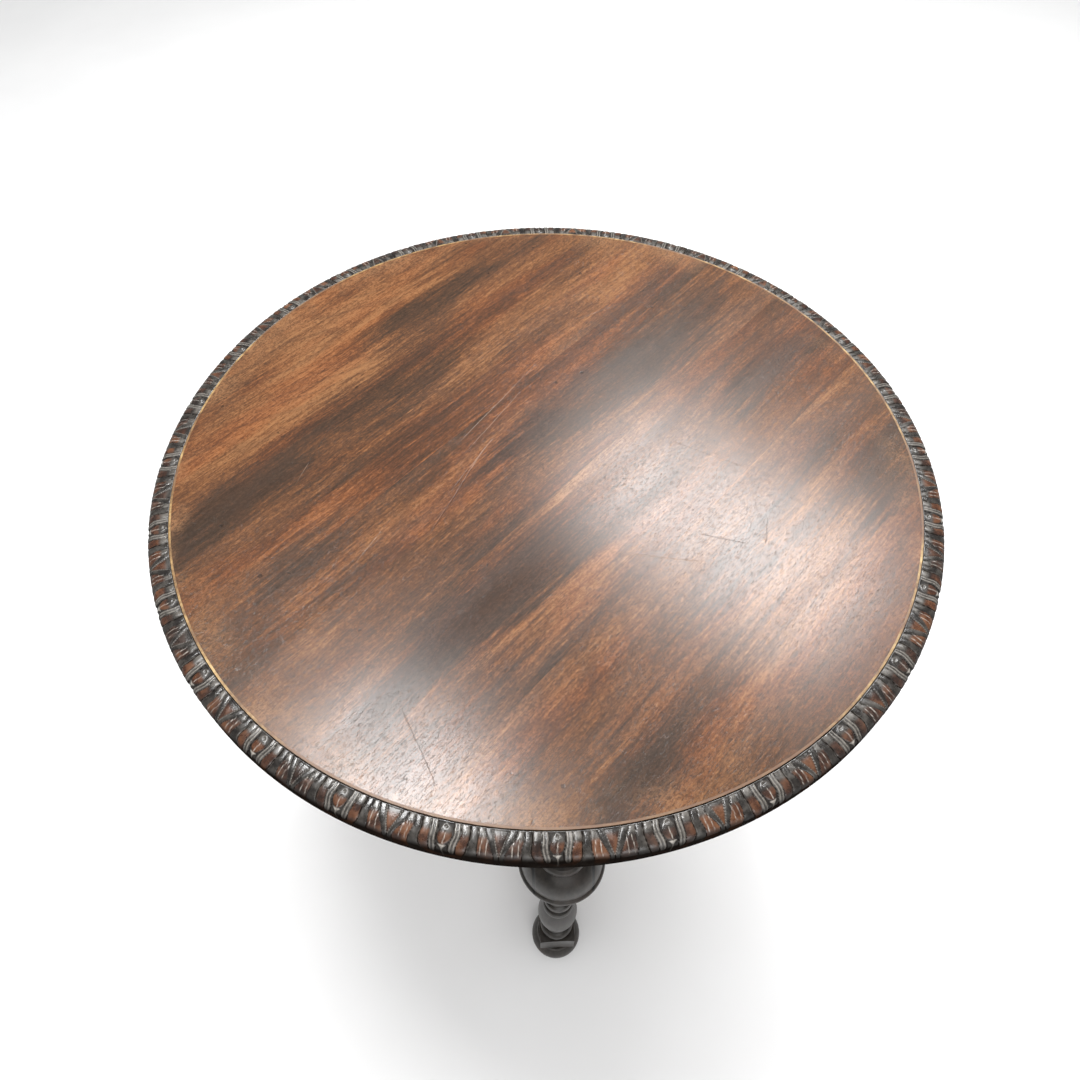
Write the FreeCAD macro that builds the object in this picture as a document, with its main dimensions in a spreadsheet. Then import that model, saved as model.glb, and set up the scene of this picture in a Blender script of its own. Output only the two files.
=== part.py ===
import FreeCAD, Part
import math
import os
from FreeCAD import Placement, Rotation, Vector

# Tilt top table. The origin is on the floor below the middle of the top, +Z is up, +X runs
# along the tilt axis and the boards' grain, and +Y points at the side that the top pivots on.
doc = FreeCAD.newDocument("tilt_top_table")

# Driving dimensions, in millimetres.
DIMENSIONS = {
    "table_height": 730,
    "board_thickness": 22,
    "field_radius": 365,
    "string_width": 2,
    "string_depth": 2,
    "rim_radius": 386.5,
    "rim_depth": 28,
    "leg_offset": 229,
    "tilt_height": 668,
    "pin_radius": 6,
    "pin_clearance": 0.08,
    "pin_socket": 14,
    "pin_overhang": 6,
    "batten_offset": 191,
    "batten_width": 30,
    "batten_front": 290,
    "batten_toe": 18,
    "batten_taper": 55,
    "batten_nose": 20,
    "batten_screw_seat": 22,
    "batten_screw_radius": 2.2,
    "batten_screw_head": 4.5,
    "batten_screw_bite": 12,
    "counterbore_radius": 6,
    "counterbore_depth": 60,
    "lower_block": 48,
    "upper_block": 44,
    "leg_foot": 42,
    "leg_block_top": 97,
    "leg_upper_block": 603,
    "leg_neck": 646,
    "blank_width": 60,
    "cup_zone_base": 450,
    "cup_zone_height": 60,
    "cup_zone_width": 120,
    "foot_radius": 35,
    "glide_height": 3,
    "glide_radius": 12,
    "nail_radius": 1.5,
    "nail_length": 12,
    "bearer_top": 646.5,
    "bearer_width": 30,
    "bearer_depth": 40,
    "stretcher_base": 59,
    "stretcher_width": 40,
    "stretcher_depth": 22,
    "tenon_length": 20,
    "tenon_width": 12,
    "tenon_shoulder": 4,
    "peg_radius": 3,
    "dowel_radius": 8,
    "dowel_length": 18,
    "pad_thickness": 1.4,
    "button_radius": 12,
    "button_height": 8,
    "button_setback": 36,
    "catch_size": 46,
    "catch_height": 43.5,
    "catch_screw_radius": 3,
    "catch_screw_head": 6,
    "catch_screw_head_height": 3,
    "catch_screw_bite": 24,
    "keeper_length": 40,
    "keeper_width": 18,
    "keeper_ear_length": 12,
    "keeper_ear_height": 14,
    "keeper_screw_radius": 1.5,
    "keeper_screw_head": 3,
    "keeper_screw_head_height": 1.2,
    "keeper_screw_sink": 10,
    "plate_thickness": 1.6,
    "latch_plate_length": 56,
    "latch_plate_width": 26,
    "latch_guide_length": 8,
    "latch_guide_width": 14,
    "latch_guide_drop": 16,
    "latch_screw_radius": 1.4,
    "latch_screw_head": 2.6,
    "latch_screw_head_height": 1,
    "latch_screw_length": 13,
    "latch_height": 697,
    "latch_radius": 4,
    "latch_clearance": 0.1,
    "bolt_length": 60,
    "knob_stem_radius": 1.5,
    "knob_stem_length": 9,
    "knob_drop": 12,
}

# The top's joints between boards, as distances from the middle.
SEAMS = [-365, -160, -39, 85, 200, 365]

# Legs and rim segments, counted from the front left.
CORNERS = {"front_left": 225, "front_right": 315, "rear_right": 45, "rear_left": 135}
CARVING_REPEATS = 28
FIRST_EGG_ANGLE = 4.59
RIM_SEGMENTS = 4

sheet = doc.addObject("Spreadsheet::Sheet", "sheet")
for row, (alias, number) in enumerate(DIMENSIONS.items(), 1):
    sheet.set(f"A{row}", alias)
    sheet.set(f"B{row}", str(number))
    sheet.setAlias(f"B{row}", alias)
doc.recompute()

subparts = []


def size(alias):
    """The value of one cell of the sheet."""
    return float(getattr(sheet, alias))


def bind(item, **expressions):
    """Tie an object's properties to the sheet; a dot in a property's name is written __."""
    for name, expression in expressions.items():
        item.setExpression(name.replace("__", "."), expression)
    return item


def keep(item, label):
    """Register an object as the sub-part called label."""
    item.Label = label
    subparts.append(item)
    return item


def box(name, length, width, height, base, turn=0.0):
    """A block whose sides are expressions, centred on base in X and Y and standing on it."""
    item = doc.addObject("Part::Box", name)
    bind(item, Length=length, Width=width, Height=height)
    doc.recompute()
    centre = Vector(-item.Length.Value / 2, -item.Width.Value / 2, 0)
    upright = Rotation(Vector(0, 0, 1), turn)
    item.Placement = Placement(base + upright.multVec(centre), upright)
    return item


def cylinder(name, radius, height, base, direction=Vector(0, 0, 1)):
    """A round bar from base along direction; radius and height are expressions."""
    item = doc.addObject("Part::Cylinder", name)
    bind(item, Radius=radius, Height=height)
    item.Placement = Placement(base, Rotation(Vector(0, 0, 1), direction))
    return item


def fuse(name, items):
    item = doc.addObject("Part::MultiFuse", name)
    item.Shapes = items
    return item


def cut(name, base, tool):
    item = doc.addObject("Part::Cut", name)
    item.Base = base
    item.Tool = tool
    return item


def common(name, first, second):
    item = doc.addObject("Part::Common", name)
    item.Base = first
    item.Tool = second
    return item


def group(name, items):
    """Several separate solids in one object."""
    item = doc.addObject("Part::Compound", name)
    item.Links = items
    return item


def outline_edges(start, steps):
    """Lines and arcs from start: a step is an end point, or an arc's middle and end points."""
    edges = []
    last = Vector(*start, 0)
    for step in steps:
        end = Vector(*step[-2:], 0)
        if len(step) == 2:
            edges.append(Part.LineSegment(last, end))
        else:
            arc = Part.Arc(last, Vector(*step[:2], 0), end)
            edges.append(arc.toBSpline(arc.FirstParameter, arc.LastParameter))
        last = end
    return edges


def sketch_on(body, plane_role, edges):
    """A sketch of the edges on one of the body's own origin planes."""
    sketch = body.newObject("Sketcher::SketchObject", body.Name + "_sketch")
    plane = next(item for item in body.Origin.OriginFeatures if item.Role == plane_role)
    sketch.AttachmentSupport = (plane, [""])
    sketch.MapMode = "FlatFace"
    sketch.addGeometry(edges, False)
    return sketch


def turned(name, start, steps, place=Placement(), angle=360.0):
    """A body turned about its own Z axis, from an outline in radius and height."""
    body = doc.addObject("PartDesign::Body", name)
    sketch = sketch_on(body, "XZ_Plane", outline_edges(start, steps))
    revolution = body.newObject("PartDesign::Revolution", name + "_turning")
    revolution.Profile = sketch
    revolution.ReferenceAxis = (sketch, ["V_Axis"])
    revolution.Angle = angle
    body.Placement = place
    doc.recompute()
    return body


def corner_place(angle):
    """The place of a leg's own axis: local X points outwards along the diagonal."""
    reach = size("leg_offset") * math.sqrt(2)
    turn = Rotation(Vector(0, 0, 1), angle)
    return Placement(turn.multVec(Vector(reach, 0, 0)), turn)


def bored(name, item, tools):
    """Cut a list of tools out of an item, as one."""
    return cut(name, item, fuse(name + "_tools", tools) if len(tools) > 1 else tools[0])


# ---- Legs ----------------------------------------------------------------------------------
# Each leg is turned from a blank that is glued up wider at the cup by a cheek on each side.
def leg_steps():
    """A leg's outline, as radius and height, from just below its lower block, where the
    turning is cut off square."""
    foot = size("leg_foot")
    block = size("leg_block_top")
    upper = size("leg_upper_block")
    neck = size("leg_neck")
    ball = size("tilt_height")
    lower_block = [
        (30, foot - 2), (30, foot), (35, foot + 3, 36, foot + 9), (36, block - 14),
        (33, block - 5, 25, block), (19, block),
    ]
    lower_vase = [
        (22.5, 106, 18.5, 112), (16.5, 113), (14.8, 124, 17, 138), (20, 144, 17, 150),
        (25.5, 192, 16.5, 238), (18, 240), (19.8, 246, 18, 252), (15.5, 253),
        (14.5, 262, 15.5, 270), (17, 271), (18.4, 276, 17, 281), (14.2, 283),
    ]
    trumpet_and_cup = [
        (15.8, 370, 22, 449), (24.6, 454, 22, 459), (20, 460), (42.5, 463),
        (45.5, 467, 43.5, 471), (42.5, 472), (38, 489, 26, 501), (25.4, 506, 22, 510), (19, 511),
    ]
    upper_vase = [
        (15, 530, 18, 551), (20.5, 556, 18, 561), (16, 580, 21, upper - 3),
        (28.5, upper - 1, 31.5, upper + 6), (31.5, neck - 5), (30, neck - 1.5, 26, neck),
        (13, neck), (12, ball - 16), (20, ball, 0, ball + 20),
    ]
    return lower_block + lower_vase + trumpet_and_cup + upper_vase + [(0, foot - 2)]


def squared(name, turning, place):
    """A turning cut back to the squared blank it is made from, level by level."""
    levels = [
        ("lower", "sheet.lower_block", "sheet.lower_block", "leg_foot", "leg_block_top", 1),
        ("core", "4 * sheet.blank_width", "sheet.blank_width", "leg_block_top",
         "leg_upper_block", 1),
        ("upper", "sheet.upper_block", "sheet.upper_block", "leg_upper_block", "leg_neck", 0),
    ]
    blanks = []
    start = size("leg_foot")
    for level, length, width, low, high, lift in levels:
        end = size(high) + lift
        height = f"sheet.{high} + {lift} - {start}"
        base = place.multVec(Vector(0, 0, start))
        angle = math.degrees(place.Rotation.Angle) * place.Rotation.Axis.z
        blanks.append(box(f"{name}_{level}", length, width, height, base, angle))
        start = end
    blanks.append(cylinder(name + "_head", "sheet.upper_block / 2", "8 * sheet.pin_radius",
                           place.multVec(Vector(0, 0, start))))
    levels = [common(f"{item.Name}_part", turning, item) for item in blanks]
    return fuse(name, levels)


def radial_box(name, length, width, height, reach, level, angle):
    """A block centred at a distance from the table's axis along a diagonal."""
    turn = Rotation(Vector(0, 0, 1), angle)
    return box(name, length, width, height, turn.multVec(Vector(reach, 0, level)), angle)


def crossed_rails(kind, width, depth, base, block, centre_tools):
    """Two diagonal rails, halved over each other, with a tenon at every end."""
    reach = size("leg_offset") * math.sqrt(2)
    shoulder = reach - size(block) / 2
    middle = size(depth) / 2
    tenon_height = f"sheet.{depth} - 2 * sheet.tenon_shoulder"
    tenon_base = base + size("tenon_shoulder")
    rails = {}
    for letter, angle, notch_level in (("a", 45, middle), ("b", 135, 0)):
        rail = radial_box(f"{kind}_{letter}_rail", f"2 * {shoulder}", f"sheet.{width}",
                          f"sheet.{depth}", 0, base, angle)
        tenons = [
            radial_box(f"{kind}_{letter}_tenon_{side}", "sheet.tenon_length",
                       "sheet.tenon_width", tenon_height,
                       sign * (shoulder + size("tenon_length") / 2), tenon_base, angle)
            for side, sign in (("out", 1), ("back", -1))
        ]
        notch = radial_box(f"{kind}_{letter}_notch", f"sheet.{width}", f"sheet.{width}",
                           f"sheet.{depth} / 2", 0, base + notch_level, angle)
        joined = fuse(f"{kind}_{letter}_blank", [rail] + tenons)
        rails[letter] = bored(f"{kind}_{letter}_halved", joined, [notch] + centre_tools)
    return rails


def corner_pegs(kind, block, level):
    """A peg through every leg's block and the tenon inside it."""
    pegs = []
    reach = size("leg_offset") * math.sqrt(2) - size(block) / 2 + size("tenon_length") / 2
    for corner, angle in CORNERS.items():
        turn = Rotation(Vector(0, 0, 1), angle)
        base = turn.multVec(Vector(reach, -size(block) / 2 - 0.6, level))
        pegs.append(cylinder(f"{kind}_peg_{corner}", "sheet.peg_radius",
                             f"sheet.{block} / 2 + sheet.tenon_width",
                             base, turn.multVec(Vector(0, 1, 0))))
    return pegs


bearer_base = size("bearer_top") - size("bearer_depth")
stretcher_base = size("stretcher_base")
bearer_pegs = corner_pegs("bearer", "upper_block", bearer_base + size("bearer_depth") / 2)
stretcher_pegs = corner_pegs("stretcher", "lower_block",
                             stretcher_base + size("stretcher_depth") / 2)

# The screw that holds the catch block down, put in from below the bearers' crossing.
catch_head = cylinder("catch_screw_head", "sheet.catch_screw_head",
                      "sheet.catch_screw_head_height",
                      Vector(0, 0, bearer_base - size("catch_screw_head_height")))
catch_shank = cylinder("catch_screw_shank", "sheet.catch_screw_radius",
                       "sheet.bearer_depth + sheet.catch_screw_bite",
                       Vector(0, 0, bearer_base))
catch_screw = fuse("catch_screw", [catch_head, catch_shank])
finial_dowel = cylinder("finial_dowel", "sheet.dowel_radius", "sheet.stretcher_depth",
                        Vector(0, 0, stretcher_base))

bearers = crossed_rails("bearer", "bearer_width", "bearer_depth", bearer_base,
                        "upper_block", [catch_shank])
stretchers = crossed_rails("stretcher", "stretcher_width", "stretcher_depth",
                           stretcher_base, "lower_block", [finial_dowel])
bearer_peg_set = group("bearer_pegs", bearer_pegs)
stretcher_peg_set = group("stretcher_pegs", stretcher_pegs)
for letter in "ab":
    keep(cut(f"bearer_{letter}", bearers[letter], bearer_peg_set), f"bearer_{letter}")
    keep(cut(f"stretcher_{letter}", stretchers[letter], stretcher_peg_set),
         f"stretcher_{letter}")
keep(bearer_peg_set, "bearer_pegs")
keep(stretcher_peg_set, "stretcher_pegs")

# Pivot pins: glued into the rear legs' ball heads, with the battens turning on them.
pins = []
for side, sign in (("left", -1), ("right", 1)):
    start = Vector(sign * (size("leg_offset") + size("pin_socket")), size("leg_offset"),
                   size("tilt_height"))
    pins.append(cylinder(f"pivot_pin_{side}", "sheet.pin_radius",
                         "sheet.leg_offset + sheet.pin_socket - sheet.batten_offset"
                         " + sheet.batten_width / 2 + sheet.pin_overhang",
                         start, Vector(-sign, 0, 0)))
pivot_pins = keep(group("pivot_pins", pins), "pivot_pins")

glides = []
for corner, angle in CORNERS.items():
    place = corner_place(angle)
    # Bun foot with a dowel that goes up into the leg, and a nailed glide below it.
    low = size("glide_height")
    top = size("leg_foot")
    foot_turning = turned(f"foot_{corner}_turning", (0, low), [
        (20, low), (26, low, 30, low + 4),
        (size("foot_radius"), top / 2 + 1, 28, top - 4), (26, top), (0, top), (0, low),
    ], place)
    foot_dowel = cylinder(f"foot_{corner}_dowel", "sheet.dowel_radius", "sheet.dowel_length",
                          place.multVec(Vector(0, 0, top)))
    pad = cylinder(f"glide_{corner}_pad", "sheet.glide_radius", "sheet.glide_height",
                   place.Base)
    nail = cylinder(f"glide_{corner}_nail", "sheet.nail_radius", "sheet.nail_length",
                    place.multVec(Vector(0, 0, low)))
    glides.append(fuse(f"glide_{corner}", [pad, nail]))
    foot = fuse(f"foot_{corner}_blank", [foot_turning, foot_dowel])
    keep(cut(f"foot_{corner}", foot, nail), f"foot_{corner}")

    turning = turned(f"leg_{corner}_turning", (0, top - 2), leg_steps(), place)
    core = squared(f"leg_{corner}_core", turning, place)
    mortises = [
        radial_box(f"leg_{corner}_{kind}_mortise", "sheet.tenon_length", "sheet.tenon_width",
                   f"sheet.{kind}_depth - 2 * sheet.tenon_shoulder",
                   place.Base.Length - size(block) / 2 + size("tenon_length") / 2,
                   base + size("tenon_shoulder"), angle)
        for kind, block, base in (("bearer", "upper_block", bearer_base),
                                  ("stretcher", "lower_block", stretcher_base))
    ]
    tools = mortises + [foot_dowel, bearer_peg_set, stretcher_peg_set]
    if corner.startswith("rear"):
        tools.append(pivot_pins)
    keep(bored(f"leg_{corner}", core, tools), f"leg_{corner}")

    # The cheeks are what the cup has beyond the blank's two sides.
    cup_base = place.multVec(Vector(0, 0, size("cup_zone_base")))
    cup_zone = box(f"cheeks_{corner}_zone", "sheet.cup_zone_width", "sheet.cup_zone_width",
                   "sheet.cup_zone_height", cup_base, angle)
    slab = box(f"cheeks_{corner}_slab", "2 * sheet.cup_zone_width", "sheet.blank_width",
               "2 * sheet.cup_zone_height", cup_base - Vector(0, 0, size("cup_zone_height") / 2),
               angle)
    cup = common(f"cheeks_{corner}_cup", turning, cup_zone)
    keep(cut(f"cheeks_{corner}", cup, slab), f"cup_cheeks_{corner}")
keep(group("foot_glides", glides), "foot_glides")

# Finial over the crossing of the stretchers.
finial_base = stretcher_base + size("stretcher_depth")
finial_turning = turned("finial_turning", (0, finial_base), [
    (22, finial_base), (25, finial_base + 4, 22, finial_base + 8), (14, finial_base + 10),
    (10, finial_base + 16, 14, finial_base + 22), (22, finial_base + 36, 12, finial_base + 54),
    (8, finial_base + 57), (11, finial_base + 64, 0, finial_base + 72), (0, finial_base),
])
keep(fuse("finial", [finial_turning, finial_dowel]), "finial")

# Leather pads on the front bearers, where the battens come down.
pads = []
for side, sign in (("left", -1), ("right", 1)):
    spot = Vector(sign * size("batten_offset"), -size("batten_offset"), size("bearer_top"))
    pads.append(cylinder(f"pad_{side}", "sheet.bearer_width / 2 - 3", "sheet.pad_thickness",
                         spot))
keep(group("batten_pads", pads), "batten_pads")

# ---- Catch ---------------------------------------------------------------------------------
catch_top = size("bearer_top") + size("catch_height")
latch = size("latch_height")
keeper_screws = []
for index, place_x in enumerate((-14, -4)):
    spot = Vector(place_x, 0, catch_top - size("keeper_screw_sink"))
    shank = cylinder(f"keeper_screw_{index}_shank", "sheet.keeper_screw_radius",
                     "sheet.keeper_screw_sink + sheet.plate_thickness", spot)
    head = cylinder(f"keeper_screw_{index}_head", "sheet.keeper_screw_head",
                    "sheet.keeper_screw_head_height",
                    Vector(place_x, 0, catch_top + size("plate_thickness")))
    keeper_screws.append(fuse(f"keeper_screw_{index}", [shank, head]))
keeper_screw_set = group("keeper_screws", keeper_screws)
catch_blank = box("catch_blank", "sheet.catch_size", "sheet.catch_size",
                  "sheet.catch_height", Vector(0, 0, size("bearer_top")))
keep(bored("catch_block", catch_blank, [catch_shank, keeper_screw_set]), "catch_block")
keep(catch_screw, "catch_screw")

keeper_plate = box("keeper_plate", "sheet.keeper_length", "sheet.keeper_width",
                   "sheet.plate_thickness", Vector(2, 0, catch_top))
keeper_ear = box("keeper_ear", "sheet.keeper_ear_length", "sheet.keeper_width",
                 "sheet.keeper_ear_height", Vector(15, 0, catch_top))
keeper_hole = cylinder("keeper_hole", "sheet.latch_radius + 4 * sheet.latch_clearance",
                       "sheet.keeper_ear_length + 2", Vector(8, 0, latch), Vector(1, 0, 0))
keeper = fuse("keeper_blank", [keeper_plate, keeper_ear])
keep(bored("latch_keeper", keeper, [keeper_hole, keeper_screw_set]), "latch_keeper")
keep(keeper_screw_set, "keeper_screws")

# ---- Top -----------------------------------------------------------------------------------
surface = size("table_height")
underside = surface - size("board_thickness")

# Batten screws: a sunk head in a deep counterbore, then the shank up into the boards.
batten_screws = []
counterbores = []
screw_seat = underside - size("batten_screw_seat")
for side, sign in (("left", -1), ("right", 1)):
    for index, place_y in enumerate((-225, -100, 20, 135)):
        spot = Vector(sign * size("batten_offset"), place_y, screw_seat)
        head = cylinder(f"batten_screw_{side}_{index}_head", "sheet.batten_screw_head", "3",
                        spot)
        shank = cylinder(f"batten_screw_{side}_{index}_shank", "sheet.batten_screw_radius",
                         "sheet.batten_screw_seat + sheet.batten_screw_bite", spot)
        batten_screws.append(fuse(f"batten_screw_{side}_{index}", [head, shank]))
        counterbores.append(cylinder(f"counterbore_{side}_{index}", "sheet.counterbore_radius",
                                     "sheet.counterbore_depth",
                                     spot - Vector(0, 0, size("counterbore_depth"))))
batten_screw_set = group("batten_screws", batten_screws)

# Latch plate screws.
plate_screws = []
for index, (place_x, place_y) in enumerate(((44, -9), (44, 9), (64, -9), (64, 9))):
    spot = Vector(place_x, place_y,
                  underside - size("plate_thickness") - size("latch_screw_head_height"))
    head = cylinder(f"plate_screw_{index}_head", "sheet.latch_screw_head",
                    "sheet.latch_screw_head_height", spot)
    shank = cylinder(f"plate_screw_{index}_shank", "sheet.latch_screw_radius",
                     "sheet.latch_screw_length", spot)
    plate_screws.append(fuse(f"plate_screw_{index}", [head, shank]))
plate_screw_set = group("latch_screws", plate_screws)

disc = cylinder("field_disc", "sheet.field_radius", "sheet.board_thickness",
                Vector(0, 0, underside))
string_place = Vector(0, 0, surface - size("string_depth"))
string_outer = cylinder("string_outer", "sheet.field_radius", "sheet.string_depth",
                        string_place)
string_inner = cylinder("string_inner", "sheet.field_radius - sheet.string_width",
                        "sheet.string_depth", string_place)
string = keep(cut("string_inlay", string_outer, string_inner), "string_inlay")
field = bored("field", disc, [string, batten_screw_set, plate_screw_set])
for index, (low, high) in enumerate(zip(SEAMS, SEAMS[1:]), 1):
    strip = box(f"board_{index}_strip", "2 * sheet.rim_radius", f"{high - low}",
                "sheet.board_thickness", Vector(0, (low + high) / 2, underside))
    keep(common(f"board_{index}", field, strip), f"board_{index}")

# Carved rim, in segments that meet between two eggs of the carving.
inner = size("field_radius")
outer = size("rim_radius")
rim_low = surface - size("rim_depth")
half_repeat = 180 / CARVING_REPEATS
for index in range(RIM_SEGMENTS):
    start_angle = FIRST_EGG_ANGLE + half_repeat + index * 360 / RIM_SEGMENTS
    segment = turned(f"rim_{index + 1}", (inner, rim_low), [
        (inner + 10, rim_low), (outer - 3, rim_low + 2, outer - 0.3, rim_low + 9),
        (outer, rim_low + 16, outer - 3.5, surface - 5),
        (outer - 6.5, surface - 1.5, outer - 11, surface - 0.8), (inner + 2.4, surface - 0.5),
        (inner + 1, surface - 2), (inner, surface - 2), (inner, rim_low),
    ], Placement(Vector(), Rotation(Vector(0, 0, 1), start_angle)), 360 / RIM_SEGMENTS)
    keep(segment, f"rim_segment_{index + 1}")

# Battens, with a rounded rear end about the pivot pin.
front = -size("batten_front")
axis_y = size("leg_offset")
axis_z = size("tilt_height")
nose = size("batten_nose")
for side, sign in (("left", -1), ("right", 1)):
    edges = outline_edges((front, underside), [
        (front, underside - size("batten_toe")),
        (front + size("batten_taper"), axis_z - nose), (axis_y, axis_z - nose),
        (axis_y + nose * math.sqrt(0.5), axis_z - nose * math.sqrt(0.5),
         axis_y + nose, axis_z), (axis_y + nose, underside), (front, underside),
    ])
    body = doc.addObject("PartDesign::Body", f"batten_{side}_body")
    sketch = sketch_on(body, "YZ_Plane", edges)
    pad = body.newObject("PartDesign::Pad", f"batten_{side}_pad")
    pad.Profile = sketch
    bind(pad, Length="sheet.batten_width")
    pad.Midplane = True
    body.Placement = Placement(Vector(sign * size("batten_offset"), 0, 0), Rotation())
    bore = cylinder(f"batten_{side}_bore", "sheet.pin_radius + sheet.pin_clearance",
                    "2 * sheet.batten_width",
                    Vector(sign * size("batten_offset") - size("batten_width"), axis_y, axis_z),
                    Vector(1, 0, 0))
    drills = fuse(f"batten_{side}_drills", counterbores + [bore])
    drilled = cut(f"batten_{side}_drilled", body, drills)
    keep(cut(f"batten_{side}", drilled, batten_screw_set), f"batten_{side}")
keep(batten_screw_set, "batten_screws")

# Buttons under the rear of the top, which lean on the rear legs when it stands up.
buttons = []
for side, sign in (("left", -1), ("right", 1)):
    spot = Vector(sign * size("leg_offset"), axis_y + size("button_setback"),
                  underside - size("button_height"))
    buttons.append(cylinder(f"button_{side}", "sheet.button_radius", "sheet.button_height",
                            spot))
keep(group("stop_buttons", buttons), "stop_buttons")

# Barrel bolt under the top.
latch_x = 54
plate = box("latch_plate", "sheet.latch_plate_length", "sheet.latch_plate_width",
            "sheet.plate_thickness", Vector(latch_x + 2, 0, underside - size("plate_thickness")))
guides = [
    box(f"latch_guide_{index}", "sheet.latch_guide_length", "sheet.latch_guide_width",
        "sheet.latch_guide_drop - sheet.plate_thickness",
        Vector(latch_x + shift, 0, underside - size("latch_guide_drop")))
    for index, shift in enumerate((-20, 20))
]
guide_hole = cylinder("latch_guide_hole", "sheet.latch_radius + sheet.latch_clearance",
                      "sheet.bolt_length", Vector(latch_x - 28, 0, latch), Vector(1, 0, 0))
housing = fuse("latch_housing_blank", [plate] + guides)
keep(bored("latch_housing", housing, [guide_hole, plate_screw_set]), "latch_housing")
keep(plate_screw_set, "latch_screws")

bar = cylinder("latch_bar", "sheet.latch_radius", "sheet.bolt_length",
               Vector(latch_x - 27, 0, latch), Vector(1, 0, 0))
knob_place = Vector(latch_x + 2, 0, latch)
stem = cylinder("latch_stem", "sheet.knob_stem_radius", "sheet.knob_stem_length",
                knob_place - Vector(0, 0, 10))
ball = doc.addObject("Part::Sphere", "latch_ball")
bind(ball, Radius="sheet.latch_radius + 0.8")
ball.Placement.Base = knob_place - Vector(0, 0, size("knob_drop"))
keep(cut("latch_bolt", bar, stem), "latch_bolt")
keep(fuse("latch_knob", [stem, ball]), "latch_knob")

# ---- Check and write -----------------------------------------------------------------------
doc.recompute()
for item in doc.Objects:
    if "Invalid" in item.State or "Error" in item.State:
        raise RuntimeError(f"{item.Name}: {item.State}")
for item in subparts:
    if item.Shape.isNull() or not item.Shape.isValid():
        raise RuntimeError(f"{item.Label} has no valid shape")

os.makedirs("parts", exist_ok=True)
for item in subparts:
    item.Shape.exportStep(f"parts/{item.Label}.step")
    print(f"{item.Label}: {len(item.Shape.Solids)} solids, {item.Shape.Volume / 1000:.1f} cm3")
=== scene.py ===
import math

import bpy
import numpy as np
from mathutils import Matrix, Vector


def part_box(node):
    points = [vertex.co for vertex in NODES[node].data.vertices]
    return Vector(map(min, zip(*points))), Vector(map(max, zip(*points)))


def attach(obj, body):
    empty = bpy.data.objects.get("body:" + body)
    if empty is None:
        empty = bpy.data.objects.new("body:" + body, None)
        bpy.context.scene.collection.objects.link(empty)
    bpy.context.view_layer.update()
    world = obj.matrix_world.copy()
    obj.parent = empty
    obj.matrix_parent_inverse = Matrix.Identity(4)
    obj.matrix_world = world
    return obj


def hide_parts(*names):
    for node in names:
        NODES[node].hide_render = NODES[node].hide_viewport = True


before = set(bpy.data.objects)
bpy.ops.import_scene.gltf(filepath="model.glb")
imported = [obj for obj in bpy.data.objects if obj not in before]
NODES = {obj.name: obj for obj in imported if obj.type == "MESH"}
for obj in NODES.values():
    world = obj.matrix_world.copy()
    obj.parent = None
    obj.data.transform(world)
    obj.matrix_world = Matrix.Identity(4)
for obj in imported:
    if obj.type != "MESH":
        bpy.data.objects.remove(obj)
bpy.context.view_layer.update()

# ---- Places and sizes, read from the frame, in metres ----------------------------------------
TOP_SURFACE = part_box("board_3")[1][2]
RIM_LOW = min(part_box(f"rim_segment_{i}")[0][2] for i in range(1, 5))
RIM_OUTER = max(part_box(f"rim_segment_{i}")[1][0] for i in range(1, 5))
FIELD_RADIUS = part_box("string_inlay")[1][0]

# The carving repeats this often round the rim; the first egg's middle is at this angle from +X.
CARVING_REPEATS = 28
FIRST_EGG_ANGLE = math.radians(4.59)
REPEAT_DEGREES = 360 / CARVING_REPEATS
HALF_REPEAT = REPEAT_DEGREES / 2

# A leg's blank is this wide each side of its middle; the cheeks are glued on beyond it, above
# this height.
BLANK_HALF_WIDTH = 0.030
CHEEKS_LOW = 0.40


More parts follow.
